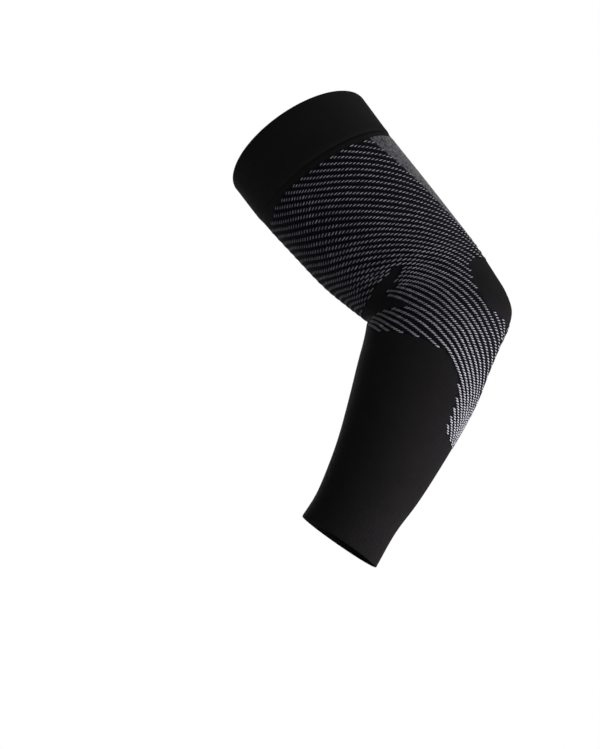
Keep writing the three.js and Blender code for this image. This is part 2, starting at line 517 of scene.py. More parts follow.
class Bench:
    """The node tree of one material or of the surround, cleared and ready for its own nodes."""

    # The numbers of a Mix node's sockets when it mixes colours, which share their names with others.
    MIX_FACTOR = 0
    MIX_LOW = 6
    MIX_HIGH = 7
    MIX_COLOUR = 2

    SHEEN_ROUGHNESS = 0.5

    def __init__(self, tree: bpy.types.NodeTree) -> None:
        """Takes over a node tree."""
        self.tree = tree
        tree.nodes.clear()

    def add(self, kind: str, settings: dict[str, Any], inputs: dict[Any, Any]) -> bpy.types.Node:
        """Adds a node.

        Args:
            kind: The node's type.
            settings: What is set on the node itself, first.
            inputs: Values or links for its sockets, by name or number.

        Returns:
            The new node.
        """
        node = self.tree.nodes.new(kind)
        for key, value in settings.items():
            setattr(node, key, value)
        for key, value in inputs.items():
            if isinstance(value, Signal):
                self.tree.links.new(value.socket, node.inputs[key])
            else:
                node.inputs[key].default_value = value
        return node

    def node(
        self, kind: str, settings: dict[str, Any], inputs: dict[Any, Any], output: Union[str, int]
    ) -> Signal:
        """Adds a node and gives one of its outputs, by name or number."""
        return Signal(self, self.add(kind, settings, inputs).outputs[output])

    def attribute(self, name: str, output: str = "Fac") -> Signal:
        """Reads a value that the mesh carries."""
        return self.node("ShaderNodeAttribute", {"attribute_name": name}, {}, output)

    def split(self, vector: Signal) -> tuple[Signal, Signal, Signal]:
        """Splits a vector into its three numbers."""
        outputs = self.add("ShaderNodeSeparateXYZ", {}, {"Vector": vector}).outputs
        return Signal(self, outputs["X"]), Signal(self, outputs["Y"]), Signal(self, outputs["Z"])

    def mix(self, factor: Operand, low: Any, high: Any) -> Signal:
        """Mixes two colours.

        Args:
            factor: 0 gives the first colour and 1 the second.
            low: The first colour, or a link to one.
            high: The second colour, or a link to one.

        Returns:
            The mixed colour.
        """
        colours = [c if isinstance(c, Signal) else (*c, 1.0) for c in (low, high)]
        inputs = {self.MIX_FACTOR: factor, self.MIX_LOW: colours[0], self.MIX_HIGH: colours[1]}
        return self.node("ShaderNodeMix", {"data_type": "RGBA"}, inputs, self.MIX_COLOUR)

    def noise(self, scale: float, detail: float) -> Signal:
        """Gives even noise over the piece.

        Args:
            scale: Cells in a metre.
            detail: Finer layers.

        Returns:
            The noise, from 0 to 1.
        """
        place = self.node("ShaderNodeTexCoord", {}, {}, "Object")
        inputs = {"Vector": place, "Scale": scale, "Detail": detail}
        return self.node("ShaderNodeTexNoise", {}, inputs, "Fac")

    def bump(self, height: Signal, depth: float) -> Signal:
        """Turns a height from 0 to 1 into a normal, for a relief of a depth in millimetres."""
        inputs = {"Height": height, "Distance": depth * MILLIMETRE, "Strength": 1.0}
        return self.node("ShaderNodeBump", {}, inputs, "Normal")

    def surface(
        self, colour: Signal, roughness: Operand, normal: Signal, gloss: float, sheen: float
    ) -> None:
        """Ends the tree in its shader.

        Args:
            colour: The base colour.
            roughness: The roughness, which may vary.
            normal: The bumped normal.
            gloss: The specular level, the same all over.
            sheen: The sheen of a yarn's fuzz, the same all over.
        """
        inputs = {
            "Base Color": colour,
            "Roughness": roughness,
            "Normal": normal,
            "Specular IOR Level": gloss,
            "Sheen Weight": sheen,
            "Sheen Roughness": self.SHEEN_ROUGHNESS,
        }
        shader = self.node("ShaderNodeBsdfPrincipled", {}, inputs, "BSDF")
        self.add("ShaderNodeOutputMaterial", {}, {"Surface": shader})


def new_bench(name: str) -> tuple[bpy.types.Material, Bench]:
    """Starts a material.

    Args:
        name: The material's name.

    Returns:
        The material, and its empty bench.
    """
    material = bpy.data.materials.new(name)
    material.use_nodes = True
    return material, Bench(material.node_tree)


@dataclass(frozen=True)
class YarnFinish:
    """What the finishes share: a shader with a relief, and a fuzz that makes its roughness vary."""

    name: str
    relief: float
    roughness: float
    gloss: float
    sheen: float
    fuzz_scale: float = 900.0
    fuzz_detail: float = 2.0
    fuzz_roughness: float = 0.16

    def material(self) -> bpy.types.Material:
        """Makes the material.

        Returns:
            The new material.
        """
        material, bench = new_bench(self.name)
        fuzz = bench.noise(self.fuzz_scale, self.fuzz_detail)
        colour, height = self.yarn_look(bench, fuzz)
        roughness = (self.roughness + self.fuzz_roughness * (fuzz - 0.5)).clamped()
        bench.surface(colour, roughness, bench.bump(height, self.relief), self.gloss, self.sheen)
        return material

    def yarn_look(self, bench: Bench, fuzz: Signal) -> tuple[Signal, Signal]:
        """Works out a finish's own colour, and the height of its relief, with fine noise from 0 to 1."""
        raise NotImplementedError


@dataclass(frozen=True)
class JerseyFinish(YarnFinish):
    """Fine dark jersey: rows of small V stitches, with a bluer and darker ground between the ribs."""

    relief: float = 0.22
    roughness: float = 0.82
    gloss: float = 0.13
    sheen: float = 0.025
    yarn: Colour = (0.0222, 0.0204, 0.0222)
    rib_ground: Colour = (0.0050, 0.0058, 0.0110)
    mesh_ground: Colour = (0.024, 0.024, 0.027)
    gap_shade: float = 0.45
    stitch_lean: float = 1.1
    loop_dip: float = 0.5
    cloud_scale: float = 55.0
    cloud_detail: float = 3.0
    cloud_least: float = 0.8
    cloud_range: float = 0.4
    fuzz_height: float = 0.25

    def yarn_look(self, bench: Bench, fuzz: Signal) -> tuple[Signal, Signal]:
        """Works out the finish's own look.

        Args:
            bench: The material's bench.
            fuzz: Fine noise, from 0 to 1.

        Returns:
            The colour, and the height of the relief.
        """
        wale, course, _ = bench.split(bench.attribute("knit", "Vector"))
        from_middle = abs(wale.fraction() - 0.5)
        # Places across a leg of the V and along its loop, each from -1 to 1.
        offset = (from_middle - 0.25) * 4.0
        loop = (course + from_middle * self.stitch_lean).fraction() * 2.0 - 1.0
        across = 1.0 - offset * offset
        stitch = (across * (1.0 - self.loop_dip * (loop * loop))).clamped()
        cloud = bench.noise(self.cloud_scale, self.cloud_detail)
        ground = bench.mix(bench.attribute("ribbed"), self.yarn, self.rib_ground)
        ground = bench.mix(bench.attribute("wedge"), ground, self.mesh_ground)
        shade = (1.0 - self.gap_shade) + self.gap_shade * stitch
        tone = shade * (self.cloud_least + self.cloud_range * cloud)
        return bench.mix(tone.clamped(), BLACK, ground), stitch + self.fuzz_height * fuzz


@dataclass(frozen=True)
class CordFinish(YarnFinish):
    """Dark yarn of the ribs, where dim tails of the light yarn show along each course."""

    relief: float = 0.25
    roughness: float = 0.85
    gloss: float = 0.1
    sheen: float = 0.02
    groove: Colour = (0.0042, 0.0050, 0.0108)
    tail: Colour = (0.032, 0.0345, 0.052)
    tail_share: float = 0.8
    tail_power: float = 2.0
    patch_scale: float = 420.0
    patch_detail: float = 1.0
    patch_least: float = 0.35
    patch_range: float = 1.3
    fuzz_tone: float = 0.2
    fuzz_height: float = 0.3

    def yarn_look(self, bench: Bench, fuzz: Signal) -> tuple[Signal, Signal]:
        """Works out the finish's own look.

        Args:
            bench: The material's bench.
            fuzz: Fine noise, from 0 to 1.

        Returns:
            The colour, and the height of the relief.
        """
        stitch = (abs(bench.attribute("lay").fraction() - 0.5) * 2.0).raised(self.tail_power)
        patch = bench.noise(self.patch_scale, self.patch_detail)
        showing = self.tail_share * stitch * (self.patch_least + self.patch_range * patch)
        tone = showing + self.fuzz_tone * (fuzz - 0.5)
        return bench.mix(tone.clamped(), self.groove, self.tail), stitch + self.fuzz_height * fuzz


@dataclass(frozen=True)
class LightYarnFinish(YarnFinish):
    """Light grey yarn of the stitches that lie on the ribs, and of the fine mesh, toned by a shade that holds
    painted light and shade on the ribs.
    """

    relief: float = 0.12
    roughness: float = 0.7
    gloss: float = 0.3
    sheen: float = 0.1
    fuzz_scale: float = 2200.0
    fuzz_roughness: float = 0.2
    dull: Colour = (0.20, 0.204, 0.23)
    bright: Colour = (0.90, 0.905, 0.98)
    shade_tone: float = 0.7
    fuzz_tone: float = 0.6
    fuzz_middle: float = 0.3

    def yarn_look(self, bench: Bench, fuzz: Signal) -> tuple[Signal, Signal]:
        """Works out the finish's own look.

        Args:
            bench: The material's bench.
            fuzz: Fine noise, from 0 to 1.

        Returns:
            The colour, and the height of the relief.
        """
        # On the ribs' stitches this shade holds painted light and shade, with uneven tone.
        shade = bench.attribute("shade")
        tone = self.shade_tone * shade + self.fuzz_tone * (fuzz - self.fuzz_middle)
        return bench.mix(tone.clamped(), self.dull, self.bright), fuzz


def make_piece(
    name: str, points: np.ndarray, faces: Sequence[Sequence[int]], material: bpy.types.Material
) -> bpy.types.Object:
    """Makes a smooth-shaded piece that rides on the sleeve.

    Args:
        name: The piece's name.
        points: Its corners.
        faces: Its faces, as numbers of corners.
        material: Its finish.

    Returns:
        The new object.
    """
    mesh = bpy.data.meshes.new(name)
    mesh.from_pydata((points * MILLIMETRE).tolist(), [], faces)
    mesh.validate()
    mesh.shade_smooth()
    mesh.materials.append(material)
    piece = bpy.data.objects.new(name, mesh)
    bpy.context.scene.collection.objects.link(piece)
    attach(piece, BODY)
    return piece


def carry(piece: bpy.types.Object, name: str, kind: str, domain: str, values: np.ndarray) -> None:
    """Stores values on a piece's mesh for its material.

    Args:
        piece: The piece.
        name: The name that the material reads.
        kind: FLOAT or FLOAT_VECTOR.
        domain: POINT or CORNER.
        values: One value or vector for each point or face corner.
    """
    layer = piece.data.attributes.new(name, kind, domain)
    held_as = "value" if kind == "FLOAT" else "vector"
    layer.data.foreach_set(held_as, np.ascontiguousarray(values, np.float32).ravel())


@dataclass(frozen=True)
class Station:
    """One ring of a wall: its row, its distance outside the form and its distance towards the wrist."""

    row: float
    out: float
    along: float = 0.0


@dataclass
class KnitTube:
    """A closed wall of knit round the arm, with an outer face, an inner face and finished edges.

    Its flat size is in metres, and its flat area in square metres. Its knit has a number of wales round the
    arm, and courses of one height down it. A face that stands proud eases down to the knit that it joins.
    """

    name: str
    node: str
    slot: str
    form: SleeveForm
    plan: KnitPlan
    finish: JerseyFinish
    from_row: float
    to_row: float
    proud: float
    wall: float
    outer_steps: int
    inner_steps: int
    flat: tuple[float, float]
    flat_area: float
    corners: int = 220
    wales: int = 260
    course: float = 1.05
    rim_steps: int = 6
    ease: float = 4.0
    ease_rows: float = 0.1
    outer_share: float = 0.3

    def rim(self, row: float, towards: int) -> list[Station]:
        """Rounds the knit over at an open end.

        Args:
            row: The row of the end.
            towards: 1 at the wrist's end and -1 at the mouth's end.

        Returns:
            Stations from the outer face to the inner one.
        """
        radius = self.wall / 2
        middle = self.proud - radius
        turns = [math.pi * step / self.rim_steps for step in range(self.rim_steps + 1)]
        return [
            Station(row, middle + radius * math.cos(turn), towards * radius * (math.sin(turn) - 1))
            for turn in turns
        ]

    def joint(self, row: float, towards: int) -> list[Station]:
        """Turns a proud face down to the knit that it joins, and squares the rest of the edge.

        Args:
            row: The row of the joint.
            towards: 1 at the wrist's end and -1 at the mouth's end.

        Returns:
            Stations from the outer face to the inner one.
        """
        shares = np.linspace(0.0, 1.0, self.rim_steps + 1) if self.proud > 0 else [1.0]
        heights = [self.proud * math.cos(math.pi / 2 * share) for share in shares]
        places = [towards * self.ease * (share - 1) for share in shares]
        eased = [Station(row, height, place) for height, place in zip(heights, places)]
        return eased + [Station(row, self.proud - self.wall)]

    def face(self, start: float, end: float, steps: int, out: float) -> list[Station]:
        """Gives the stations of one face between two rows, without the rows themselves."""
        return [Station(row, out) for row in np.linspace(start, end, steps + 1)[1:-1]]

    def stations(self) -> list[Station]:
        """Gives every ring, down the outer face, round the lower edge and back up inside."""
        raise NotImplementedError

    def build(self) -> bpy.types.Object:
        """Makes the piece, with its knit and its zones.

        Returns:
            The new object, which replaces its node.
        """
        rings = self.stations()
        count, around = len(rings), self.corners
        row = np.array([ring.row for ring in rings])[:, None]
        out = np.array([ring.out for ring in rings])[:, None]
        along = np.array([ring.along for ring in rings])[:, None]
        angle = (2 * math.pi * np.arange(around) / around)[None, :]
        points = self.form.points(row, angle, out, along)
        ring, corner = np.meshgrid(np.arange(count), np.arange(around), indexing="ij")
        after, beside = (ring + 1) % count, (corner + 1) % around
        here, there = ring * around, after * around
        quads = np.stack([here + corner, here + beside, there + beside, there + corner], -1)
        faces = quads.reshape(-1, 4).tolist()
        piece = make_piece(self.name, points.reshape(-1, 3), faces, self.finish.material())
        carry(piece, "knit", "FLOAT_VECTOR", "CORNER", self._knit(points, ring, corner))
        self._zones(piece, row, angle, out)
        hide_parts(self.node)
        return piece

    def _knit(self, points: np.ndarray, ring: np.ndarray, corner: np.ndarray) -> np.ndarray:
        """Counts the wales and courses of the knit at the corners of every face.

        Args:
            points: The wall's points, ring by ring.
            ring: The ring where each face starts.
            corner: The corner of the ring where each face starts.

        Returns:
            Wales round the arm, courses down it and a zero, for the four corners of each face.
        """
        steps = np.linalg.norm(points - np.roll(points, 1, axis=0), axis=-1).mean(axis=1)
        steps[0] = 0.0
        course = np.append(np.cumsum(steps), np.cumsum(steps)[-1]) / self.course
        wale = np.arange(self.corners + 1) * self.wales / self.corners
        knit = np.zeros((*ring.shape, 4, 3))
        knit[..., 0] = np.stack([wale[corner], wale[corner + 1], wale[corner + 1], wale[corner]], -1)
        knit[..., 1] = np.stack([course[ring], course[ring], course[ring + 1], course[ring + 1]], -1)
        return knit

    def _zones(
        self, piece: bpy.types.Object, row: np.ndarray, angle: np.ndarray, out: np.ndarray
    ) -> None:
        """Stores which points lie in the ribbed zone and in the fine mesh, on the outer face alone.

        Args:
            piece: The piece.
            row: The row of each ring.
            angle: The angle of each corner, in radians.
            out: The distance of each ring outside the form.
        """
        outer = out > self.proud - self.outer_share * self.wall
        rows = np.broadcast_to(row, (len(row), angle.shape[1]))
        aways = self.plan.away(row, angle)
        carry(piece, "ribbed", "FLOAT", "POINT", self.plan.ribbed(rows, aways) & outer)
        carry(piece, "wedge", "FLOAT", "POINT", self.plan.wedge(rows, aways) & outer)

    def declare(self, piece: bpy.types.Object, trimmings: Sequence[bpy.types.Object]) -> None:
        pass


class SleeveBody(KnitTube):
    """The single knit from the band to the wrist."""

    def stations(self) -> list[Station]:
        """Gives the rings of the body, square under the band and rounded at the hem.

        Returns:
            The rings, in order.
        """
        inner = self.proud - self.wall
        return [
            *self.face(self.from_row, self.to_row, self.outer_steps, self.proud),
            *self.rim(self.to_row, 1),
            *self.face(self.to_row, self.from_row, self.inner_steps, inner),
            *reversed(self.joint(self.from_row, -1)),
        ]


class UpperBand(KnitTube):
    """The doubled band round the upper arm."""

    def stations(self) -> list[Station]:
        """Gives the rings of the band, rounded at the mouth and turned down to the body below.

        Returns:
            The rings, in order.
        """
        inner = self.proud - self.wall
        return [
            *self.face(self.from_row, self.to_row - self.ease_rows, self.outer_steps, self.proud),
            *self.joint(self.to_row, 1),
            *self.face(self.to_row, self.from_row, self.inner_steps, inner),
            *reversed(self.rim(self.from_row, -1)),
        ]


@dataclass
class StitchBed:
    """Short rounded lengths of yarn, laid one by one and gathered into one piece.

    Each has some sides, and rings at places along it from -1 to 1. Its ends dip by a share of its height.
    """

    sides: int
    rings: tuple[float, ...]
    dip: float = 0.35
    _points: list[np.ndarray] = field(default_factory=list)
    _shades: list[np.ndarray] = field(default_factory=list)

    def _shape(self) -> np.ndarray:
        """Gives one stitch's corners.

        Returns:
            Lengthwise, sideways and upward shares of half its size.
        """
        corners = [(-1.0, 0.0, -self.dip)]
        for place in self.rings:
            girth = math.sqrt(1 - place**4)
            drop = -self.dip * place**2
            for side in range(self.sides):
                turn = 2 * math.pi * side / self.sides
                corners.append((place, girth * math.cos(turn), girth * math.sin(turn) + drop))
        corners.append((1.0, 0.0, -self.dip))
        return np.array(corners)

    def lay(
        self,
        centre: np.ndarray,
        heading: np.ndarray,
        normal: np.ndarray,
        size: np.ndarray,
        shade: np.ndarray,
    ) -> None:
        """Lays stitches.

        Args:
            centre: Their middles.
            heading: Their lengthwise directions.
            normal: The directions that they stand out in.
            size: Their length, width and height.
            shade: How bright each one's yarn is, where 0 is dull and 1 is bright, with painted light and
                shade on the ribs.
        """
        shape = self._shape()
        sideways = np.cross(normal, heading)
        half = size[:, None, :] / 2 * shape[None, :, :]
        points = centre[:, None, :] + half[..., 0:1] * heading[:, None, :]
        points = points + half[..., 1:2] * sideways[:, None, :] + half[..., 2:3] * normal[:, None, :]
        self._points.append(points.reshape(-1, 3))
        self._shades.append(np.repeat(shade, len(shape)))

    def _faces(self, points: int) -> list[list[int]]:
        """Gives every face, with each stitch closed to a point at both ends.

        Args:
            points: How many points all the stitches have.

        Returns:
            The faces, as numbers of points.
        """
        per = 2 + self.sides * len(self.rings)
        last = per - 1
        one: list[list[int]] = []
        for side in range(self.sides):
            beside = (side + 1) % self.sides
            one.append([0, 1 + beside, 1 + side])
            for ring in range(len(self.rings) - 1):
                here, there = 1 + ring * self.sides, 1 + (ring + 1) * self.sides
                one.append([here + side, here + beside, there + beside, there + side])
            end = 1 + (len(self.rings) - 1) * self.sides
            one.append([end + side, end + beside, last])
        return [
            [per * stitch + corner for corner in face] for stitch in range(points // per) for face in one
        ]

    def gather(self, name: str, finish: LightYarnFinish) -> bpy.types.Object:
        """Makes one piece of all the stitches.

        Args:
            name: The piece's name.
            finish: The finish of the yarn.

        Returns:
            The new object.
        """
        points = np.concatenate(self._points)
        piece = make_piece(name, points, self._faces(len(points)), finish.material())
        # The shade holds painted light and shade for the ribs' stitches, and uneven tone.
        carry(piece, "shade", "FLOAT", "POINT", np.concatenate(self._shades))
        return piece


@dataclass
class RibRun:
    """One unbroken length of a rib.

    Its points are evenly spaced. Each has the direction of the rib, the direction round the arm towards the
    back line, the outward direction, the distance between ribs, the courses of knit above it, and its place.
    """

    side: Side
    points: np.ndarray
    tangents: np.ndarray
    round_arm: np.ndarray
    normals: np.ndarray
    pitch: np.ndarray
    course: np.ndarray
    row: np.ndarray
    away: np.ndarray

    def cut(self, first: int, stop: int) -> "RibRun":
        """Gives the length from one point up to another."""
        arrays = {name: values[first:stop] for name, values in vars(self).items() if name != "side"}
        return replace(self, **arrays)


@dataclass
class RibField:
    """The raised ribs of the body, and the light stitches that lie on them."""

    form: SleeveForm
    plan: KnitPlan
    cord_finish: CordFinish
    yarn_finish: LightYarnFinish

    # The ribs that are followed, how closely, and the least length and spacing of what is kept of them.
    first_rib: int = -7
    last_rib: int = 33
    path_samples: int = 1521
    sample: float = 0.25
    turn_probe: float = 0.01
    shortest: float = 5.0
    closest: float = 1.2

    # The dark cords: the samples from ring to ring, their height, their half width as a share of the spacing
    # and its limits, how they taper to their ends, and half of their profile.
    cord_step: int = 12
    cord_height: float = 0.38
    cord_share: float = 0.40
    cord_half: tuple[float, float] = (0.6, 2.1)
    cord_end_share: float = 0.35
    cord_end_length: float = 3.0
    cord_profile: Outline = ((-1.0, -0.6), (-0.86, 0.2), (-0.45, 0.82), (0.0, 1.0))

    # Courses of the knit, counted down a line at some degrees, with their spacing at two rows. Where a rib
    # runs level, its stitches are never further apart than the longest step, and the least fall limits the
    # slant of the courses across it.
    course_line: float = 45.0
    course_start: float = -2.0
    course_samples: int = 901
    course_rows: tuple[float, float] = (3.0, 6.0)
    course_pitch: tuple[float, float] = (1.58, 1.65)
    longest_step: float = 4.5
    least_fall: float = 0.02

    # The stitches at three rows down the arm: how they lean, their length beside the overlap, their width and
    # their yarn's tone, with painted light that brightens it down the arm towards the wrist. Then their
    # height, the share of a step that they overlap, and their sides and rings.
    stitch_rows: tuple[float, float, float] = (4.0, 8.0, 10.5)
    stitch_lean: tuple[float, float, float] = (5.0, 2.0, -9.0)
    stitch_reach: tuple[float, float, float] = (1.5, 1.82, 1.8)
    stitch_width: tuple[float, float, float] = (0.84, 0.92, 1.14)
    stitch_tone_and_painted_light: tuple[float, float, float] = (0.62, 0.72, 1.2)
    stitch_height: float = 0.75
    stitch_overlap: float = 0.75
    stitch_sides: int = 6
    stitch_rings: tuple[float, ...] = (-0.84, 0.0, 0.84)

    # What is added to their lean, and the painted shade added to their yarn, darker round the arm towards the
    # crook. Then what multiplies their width and length, round the arm.
    round_aways: tuple[float, ...] = (60.0, 85.0, 105.0, 125.0, 148.0, 162.0, 178.0)
    round_lean: tuple[float, ...] = (0.0, 0.0, 9.0, 26.0, 28.0, 10.0, 0.0)
    round_width: tuple[float, ...] = (1.0, 1.0, 1.1, 1.3, 1.3, 1.25, 1.25)
    round_reach: tuple[float, ...] = (1.0, 1.0, 1.06, 1.2, 1.25, 1.25, 1.25)
    round_painted_shade: tuple[float, ...] = (0.0, -0.15, -0.42, -0.6, -0.9, -0.9, -0.9)

    # The shares of the added lean and of the added painted shade that hold at rows.
    crook_lean_rows: tuple[float, float] = (2.2, 3.6)
    crook_lean_share: tuple[float, float] = (1.0, 0.35)
    dim_rows: tuple[float, float] = (4.0, 7.0)
    dim_share: tuple[float, float] = (1.0, 1.6)

    # The share of their height that ribs and stitches keep, where the crook presses them flat.
    low_aways: tuple[float, float] = (138.0, 164.0)
    low_share: tuple[float, float] = (1.0, 0.45)

    # The limits of a stitch: its reach across and its width as shares of the spacing, the least square of
    # the share of it that lies across, and its shade, which holds painted light and shade with uneven tone.
    widest_share: float = 0.72
    thickest_share: float = 0.46
    least_across: float = 0.05
    shade_limits: tuple[float, float] = (-0.15, 1.2)

    # Where a stitch sits on its cord, as a share of the cord's height, and how uneven the stitches are. Then
    # the degrees from which a rib counts as starting where both sides meet, and the seed of what is uneven.
    seat: float = 0.8
    uneven_lean: float = 3.0
    uneven_place: float = 0.05
    uneven_size: float = 0.04
    uneven_shade: float = 0.14
    sides_meet: float = 183.9
    seed: int = 7

    def courses(self) -> tuple[np.ndarray, np.ndarray]:
        """Counts the courses of the knit down the arm.

        Returns:
            Close rows of the section table, and the courses above each.
        """
        rows = np.linspace(self.course_start, self.form.last_row, self.course_samples)
        line = self.form.points(rows, math.radians(self.course_line))
        steps = np.linalg.norm(np.diff(line, axis=0), axis=1)
        pitches = np.interp(rows[1:], self.course_rows, self.course_pitch)
        return rows, np.concatenate([[0.0], np.cumsum(steps / pitches)])

    def runs(self, side: Side) -> list[RibRun]:
        """Follows every rib on one side of the arm, broken where the knit has none.

        Args:
            side: The side of the back line.

        Returns:
            The unbroken lengths, in order.
        """
        away = np.linspace(self.plan.away_columns[-1], min(self.plan.back_lines), self.path_samples)
        found = []
        for rib in range(self.first_rib, self.last_rib + 1):
            whole = self._whole_rib(rib, side, away)
            shown = self.plan.ribbed(whole.row, whole.away) & (whole.pitch > self.closest)
            shown &= whole.away >= self.plan.back(whole.row)
            edges = np.flatnonzero(np.diff(np.concatenate([[0], shown.astype(int), [0]])))
            for first, stop in zip(edges[::2], edges[1::2]):
                if (stop - first) * self.sample >= self.shortest:
                    found.append(whole.cut(first, stop))
        return found

    def _whole_rib(self, rib: int, side: Side, away: np.ndarray) -> RibRun:
        """Follows one rib from the crook to the back line.

        Args:
            rib: The rib's number.
            side: The side of the back line.
            away: Evenly spaced degrees of the plan.

        Returns:
            The whole rib, without its breaks.
        """
        row = self.plan.rib_rows(rib, away)
        length = run_length(self.form.points(row, self.plan.angle(row, away, side)))
        places = np.arange(0.0, length[-1], self.sample)
        aways = np.interp(places, length, away)
        rows = np.interp(places, length, row)
        angles = self.plan.angle(rows, aways, side)
        points = self.form.points(rows, angles)
        tangents = unit(np.gradient(points, axis=0))
        turn = self.turn_probe * side.value
        round_arm = self.form.points(rows, angles - turn) - self.form.points(rows, angles + turn)
        counted = np.interp(rows, *self.courses())
        climb = np.maximum(np.diff(counted, prepend=counted[0]), self.sample / self.longest_step)
        return RibRun(
            side=side,
            points=points,
            tangents=tangents,
            round_arm=unit(round_arm),
            normals=self.form.normals(rows, angles),
            pitch=self._pitch(rib, away, aways, angles, tangents),
            course=counted[0] + np.cumsum(climb),
            row=rows,
            away=aways,
        )

    def _pitch(
        self, rib: int, away: np.ndarray, aways: np.ndarray, angles: np.ndarray, tangents: np.ndarray
    ) -> np.ndarray:
        """Measures the distance between ribs along a rib.

        Args:
            rib: The rib's number.
            away: Evenly spaced degrees of the plan.
            aways: The plan's degrees at each point.
            angles: The angle of each point, in radians.
            tangents: The direction of the rib at each point.

        Returns:
            The distance at each point.
        """
        above, below = (
            self.form.points(np.interp(-aways, -away, self.plan.rib_rows(rib + half, away)), angles)
            for half in (-0.5, 0.5)
        )
        spread = below - above
        return np.linalg.norm(spread - (spread * tangents).sum(1, keepdims=True) * tangents, axis=1)

    def _low(self, away: np.ndarray) -> np.ndarray:
        """Gives the share of their height that the ribs keep where the crook presses them flat."""
        return np.interp(away, self.low_aways, self.low_share)

    def _course_slant(self, run: RibRun) -> np.ndarray:
        """Finds how courses cross a rib.

        Args:
            run: The length of rib.

        Returns:
            The courses crossed by each millimetre sideways from it.
        """
        across = np.cross(run.normals, run.tangents)
        down = run.tangents - (run.tangents * run.round_arm).sum(1, keepdims=True) * run.round_arm
        per_millimetre = np.gradient(run.course) / self.sample
        return per_millimetre * (across * down).sum(1) / np.maximum((down * down).sum(1), self.least_fall)

    def build_cords(self, name: str, runs: Sequence[RibRun]) -> bpy.types.Object:
        """Makes the half-round cords of the ribs.

        Args:
            name: The piece's name.
            runs: The lengths of rib.

        Returns:
            The new object.
        """
        other_half = tuple((-across, high) for across, high in self.cord_profile[-2::-1])
        profile = np.array(self.cord_profile + other_half)
        sides = len(profile)
        points, faces, lay, base = [], [], [], 0
        for run in runs:
            last = len(run.points) - 1
            stops = np.unique(np.append(np.arange(0, last + 1, self.cord_step), last))
            count = len(stops)
            along = stops * self.sample
            ends = np.minimum(along, along[-1] - along)
            taper = np.clip(self.cord_end_share + ends / self.cord_end_length, 0.0, 1.0)
            taper = (taper * self._low(run.away[stops]))[:, None]
            half = np.clip(self.cord_share * run.pitch[stops], *self.cord_half)[:, None]
            across = np.cross(run.normals[stops], run.tangents[stops])
            slant = self._course_slant(run)[stops][:, None]
            wide = (profile[:, 0] * half)[..., None] * across[:, None, :]
            high = (profile[:, 1] * self.cord_height * taper)[..., None] * run.normals[stops][:, None, :]
            points.append((run.points[stops][:, None, :] + wide + high).reshape(-1, 3))
            step, corner = np.meshgrid(np.arange(count - 1), np.arange(sides), indexing="ij")
            beside = (corner + 1) % sides
            here, there = base + step * sides, base + (step + 1) * sides
            quads = np.stack([here + corner, there + corner, there + beside, here + beside], -1)
            faces += quads.reshape(-1, 4).tolist()
            faces.append([base + c for c in range(sides)])
            faces.append([base + (count - 1) * sides + c for c in reversed(range(sides))])
            lay.append((run.course[stops][:, None] + profile[:, 0] * half * slant).ravel())
            base += count * sides
        piece = make_piece(name, np.concatenate(points), faces, self.cord_finish.material())
        carry(piece, "lay", "FLOAT", "POINT", np.concatenate(lay))
        return piece

    def build_stitches(self, name: str, runs: Sequence[RibRun]) -> bpy.types.Object:
        """Makes the light stitches, one where each course crosses each rib.

        Args:
            name: The piece's name.
            runs: The lengths of rib.

        Returns:
            The new object.
        """
        draws = np.random.default_rng(self.seed)
        bed = StitchBed(self.stitch_sides, self.stitch_rings)
        for run in runs:
            index = self._crossings(run)
            if len(index) > 0:
                self._lay_stitches(bed, run, index, draws.normal(0.0, 1.0, (len(index), 3)))
        return bed.gather(name, self.yarn_finish)

    def _crossings(self, run: RibRun) -> np.ndarray:
        """Finds where courses of the knit cross a rib.

        Args:
            run: The length of rib.

        Returns:
            The numbers of its points there. The near side has one more where the two sides meet.
        """
        numbers = np.arange(math.ceil(run.course[0]), math.floor(run.course[-1]) + 1)
        places = np.interp(numbers, run.course, np.arange(len(run.course)))
        if len(numbers) > 0 and run.side is Side.NEAR and run.away[0] > self.sides_meet:
            places = np.append(0.0, places)
        return np.round(places).astype(int)

    def _lay_stitches(self, bed: StitchBed, run: RibRun, index: np.ndarray, uneven: np.ndarray) -> None:
        """Lays the stitches of one length of rib, whose shade holds painted light and shade.

        Args:
            bed: The bed that takes them.
            run: The length of rib.
            index: The numbers of its points where they lie.
            uneven: Three random numbers for each.
        """
        row, away, pitch = run.row[index], run.away[index], run.pitch[index]
        normal, tangent, round_arm = run.normals[index], run.tangents[index], run.round_arm[index]
        down_arm = (self.stitch_lean, self.stitch_reach, self.stitch_width, self.stitch_tone_and_painted_light)
        # Down the arm, the shade is the yarn's tone with painted light, brighter towards the wrist.
        lean, reach, width, shade = (np.interp(row, self.stitch_rows, values) for values in down_arm)
        towards_crook = (self.round_lean, self.round_width, self.round_reach, self.round_painted_shade)
